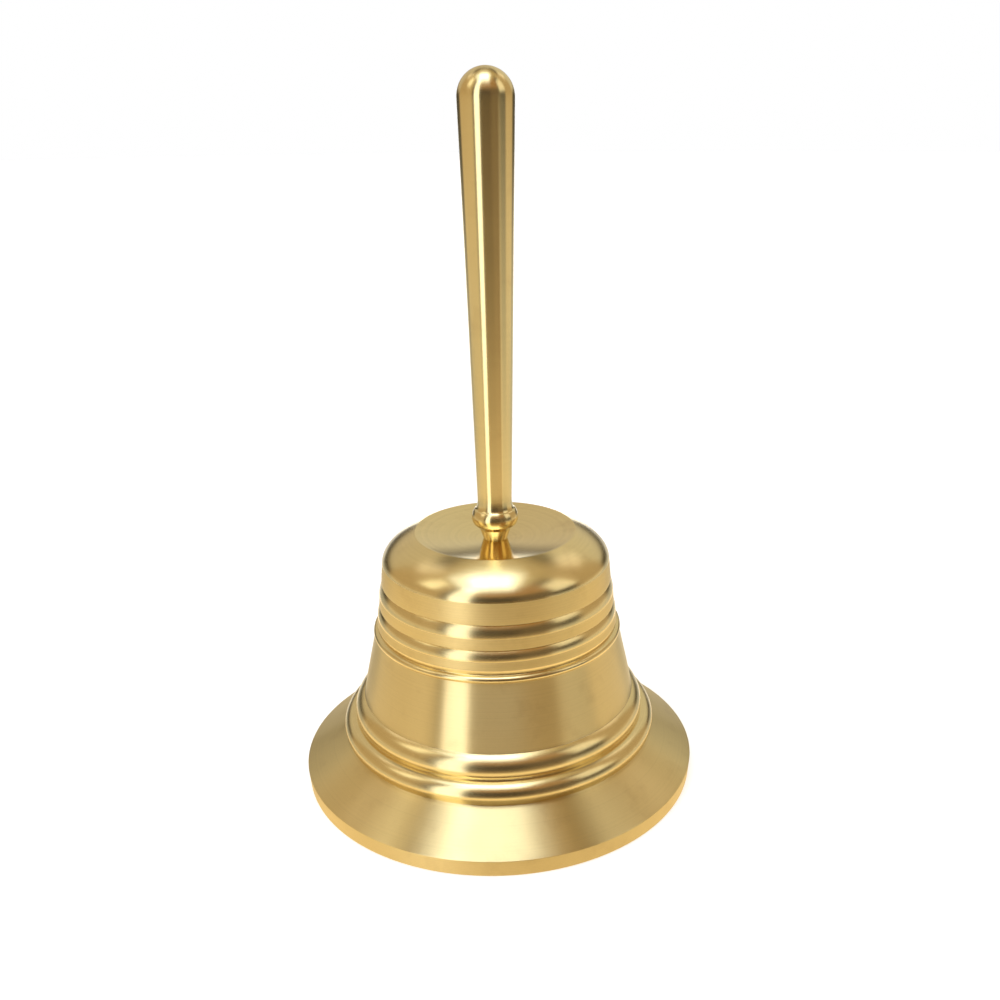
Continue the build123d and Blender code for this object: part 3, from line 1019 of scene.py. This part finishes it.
# The room that the brass mirrors: azimuth from and to, elevation from and to, soft edge (all in
# degrees), and colour. Azimuth 0 is in front of the bell, and positive to the right.
ROOM_PANELS = (
    ("room", (-400, 400, -100, 100), 1.0, (0.03, 0.025, 0.02)),
    ("tall_window", (-47, -26, -24, 60), 1.0, (1.75, 1.80, 1.95)),
    ("left_light", (-91, -70, 31, 56), 3.0, (1.0, 1.05, 1.0)),
    ("right_light", (58, 86, 16, 52), 3.0, (1.05, 1.0, 0.9)),
    ("left_wall", (-125, -55, -12, 62), 6.0, (0.50, 0.38, 0.23)),
    ("right_wall", (84, 128, -12, 62), 6.0, (0.48, 0.37, 0.23)),
    ("back_wall_left", (-185, -125, 8, 52), 5.0, (0.58, 0.52, 0.42)),
    ("back_wall_right", (128, 185, 8, 52), 5.0, (0.64, 0.60, 0.50)),
    ("back_light", (167, 193, -12, 4.4), 0.6, (1.6, 1.6, 1.6)),
    ("left_high_light", (-130, -113, 42, 60), 1.5, (0.60, 0.60, 0.64)),
    ("right_high_light", (118, 138, 36, 54), 1.2, (0.50, 0.48, 0.50)),
    ("front_wall_top", (-26, 57, 30, 62), 6.0, (0.38, 0.22, 0.10)),
    ("front_wall", (-26, 57, -6, 30), 5.0, (0.035, 0.025, 0.015)),
    ("front_wall_low", (-26, 57, -20, -6), 5.0, (0.14, 0.10, 0.06)),
    ("front_wall_right", (20, 57, -20, 30), 8.0, (0.08, 0.06, 0.04)),
    ("table_near", (-400, 400, -100, -42), 6.0, (0.85, 0.70, 0.48)),
    ("table_mid", (-400, 400, -42, -22), 4.0, (1.32, 1.05, 0.66)),
    ("table_left", (-150, -47, -22, -6), 4.0, (0.42, 0.42, 0.38)),
    ("table_right", (50, 150, -22, -6), 4.0, (0.50, 0.50, 0.46)),
    ("table_back", (150, 210, -24, -4), 2.0, (0.8, 0.8, 0.8)),
    ("ceiling", (-400, 400, 62, 100), 6.0, (0.56, 0.45, 0.27)),
)

# Lit boxes on the ceiling: left, right, front and back per metre of ceiling height, soft edge, colour
CEILING_PANELS = (
    ("ceiling_light", (-0.52, 0.29, -0.75, 0.10), 0.012, (0.85, 1.05, 1.40)),
    ("ceiling_lamp", (-0.30, 0.175, -0.42, 0.02), 0.02, (1.8, 2.1, 2.5)),
)


def make_soft_panel():
    """A lit rectangle with soft edges, as a mask over two direction coordinates."""
    sides = ("Across From", "Across To", "Up From", "Up To")
    group, given, result = start_group(
        "Soft Panel",
        [("Across", "NodeSocketFloat", 0.0), ("Up", "NodeSocketFloat", 0.0),
         *((side, "NodeSocketFloat", 0.0) for side in sides), ("Softness", "NodeSocketFloat", 1.0)],
        [("Mask", "NodeSocketFloat")],
    )
    mask = None
    for side in sides:
        value = given.outputs[side.split()[0]]
        low = math_node(group, "SUBTRACT", given.outputs[side], given.outputs["Softness"])
        high = math_node(group, "ADD", given.outputs[side], given.outputs["Softness"])
        levels = (0.0, 1.0) if side.endswith("From") else (1.0, 0.0)
        edge = ranged(group, value, low, high, *levels)
        edge.node.interpolation_type = "SMOOTHSTEP"
        mask = edge if mask is None else math_node(group, "MULTIPLY", mask, edge)
    group.links.new(mask, result.inputs["Mask"])
    return group


def make_room():
    """A soft-lit room round the bell, and plain white where the camera looks past the bell."""
    world = bpy.data.worlds.new("Studio")
    bpy.context.scene.world = world
    world.use_nodes = True
    tree = world.node_tree
    place = tree.nodes.new("ShaderNodeTexCoord")
    split = tree.nodes.new("ShaderNodeSeparateXYZ")
    tree.links.new(place.outputs["Generated"], split.inputs[0])
    x, y, z = split.outputs
    to_degrees = math.degrees(1.0)
    azimuth = math_node(tree, "ARCTAN2", x, math_node(tree, "MULTIPLY", y, -1.0))
    azimuth = math_node(tree, "MULTIPLY", azimuth, to_degrees)
    turned = math_node(tree, "MULTIPLY", math_node(tree, "LESS_THAN", azimuth, -150.0), 360.0)
    far_azimuth = math_node(tree, "ADD", azimuth, turned)
    elevation = math_node(tree, "MULTIPLY", math_node(tree, "ARCSINE", z), to_degrees)
    height = math_node(tree, "MAXIMUM", z, 0.001)
    across, along = math_node(tree, "DIVIDE", x, height), math_node(tree, "DIVIDE", y, height)
    panel = make_soft_panel()
    light = None
    rows = [(row, azimuth if row[1][1] < 190 else far_azimuth, elevation) for row in ROOM_PANELS]
    rows += [(row, across, along) for row in CEILING_PANELS]
    for (name, sides, softness, colour), across_from, up_from in rows:
        node = tree.nodes.new("ShaderNodeGroup")
        node.node_tree = panel
        node.name = name
        tree.links.new(across_from, node.inputs["Across"])
        tree.links.new(up_from, node.inputs["Up"])
        for label, value in zip(("Across From", "Across To", "Up From", "Up To"), sides):
            node.inputs[label].default_value = value
        node.inputs["Softness"].default_value = softness
        lit = tree.nodes.new("ShaderNodeVectorMath")
        lit.operation = "SCALE"
        lit.name = name + "_colour"
        lit.inputs[0].default_value = colour
        tree.links.new(node.outputs["Mask"], lit.inputs["Scale"])
        if light is None:
            light = lit.outputs[0]
            continue
        total = tree.nodes.new("ShaderNodeVectorMath")
        tree.links.new(light, total.inputs[0])
        tree.links.new(lit.outputs[0], total.inputs[1])
        light = total.outputs[0]
    path = tree.nodes.new("ShaderNodeLightPath")
    background = tree.nodes["Background"]
    seen = mixed(tree, path.outputs["Is Camera Ray"], light, (1.0, 1.0, 1.0))
    tree.links.new(seen, background.inputs["Color"])


class HANDBELL_OT_stage(bpy.types.Operator):
    """Set up the camera, the pale floor and the soft studio light"""

    bl_idname = "handbell.stage"
    bl_label = "Stage and Light"

    def execute(self, context):
        make_camera(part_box("bell_shell")[1].x)
        context.scene.view_settings.view_transform = "Standard"
        make_floor()
        make_room()
        return {"FINISHED"}


class HANDBELL_PT_panel(bpy.types.Panel):
    """Sidebar panel with the handbell's settings and steps"""

    bl_label = "Handbell"
    bl_idname = "HANDBELL_PT_panel"
    bl_space_type = "VIEW_3D"
    bl_region_type = "UI"
    bl_category = "Handbell"

    def draw(self, context):
        layout = self.layout
        for group in (context.scene.handbell_sizes, context.scene.handbell_colours):
            box = layout.box()
            for name in group.__annotations__:
                box.prop(group, name)
        for operator in OPERATORS:
            layout.operator(operator.bl_idname)


OPERATORS = (
    HANDBELL_OT_stage,
    HANDBELL_OT_shell,
    HANDBELL_OT_handle,
    HANDBELL_OT_washers,
    HANDBELL_OT_nuts,
    HANDBELL_OT_hanger,
    HANDBELL_OT_clapper,
)
CLASSES = (HandbellSizes, HandbellColours, *OPERATORS, HANDBELL_PT_panel)


def register():
    for cls in CLASSES:
        bpy.utils.register_class(cls)
    bpy.types.Scene.handbell_sizes = bpy.props.PointerProperty(type=HandbellSizes)
    bpy.types.Scene.handbell_colours = bpy.props.PointerProperty(type=HandbellColours)


def unregister():
    del bpy.types.Scene.handbell_sizes
    del bpy.types.Scene.handbell_colours
    for cls in reversed(CLASSES):
        bpy.utils.unregister_class(cls)


def main():
    register()
    bpy.ops.handbell.stage()
    bpy.ops.handbell.shell()
    bpy.ops.handbell.handle()
    bpy.ops.handbell.washers()
    bpy.ops.handbell.nuts()
    bpy.ops.handbell.hanger()
    bpy.ops.handbell.clapper()


if __name__ == "__main__":
    main()
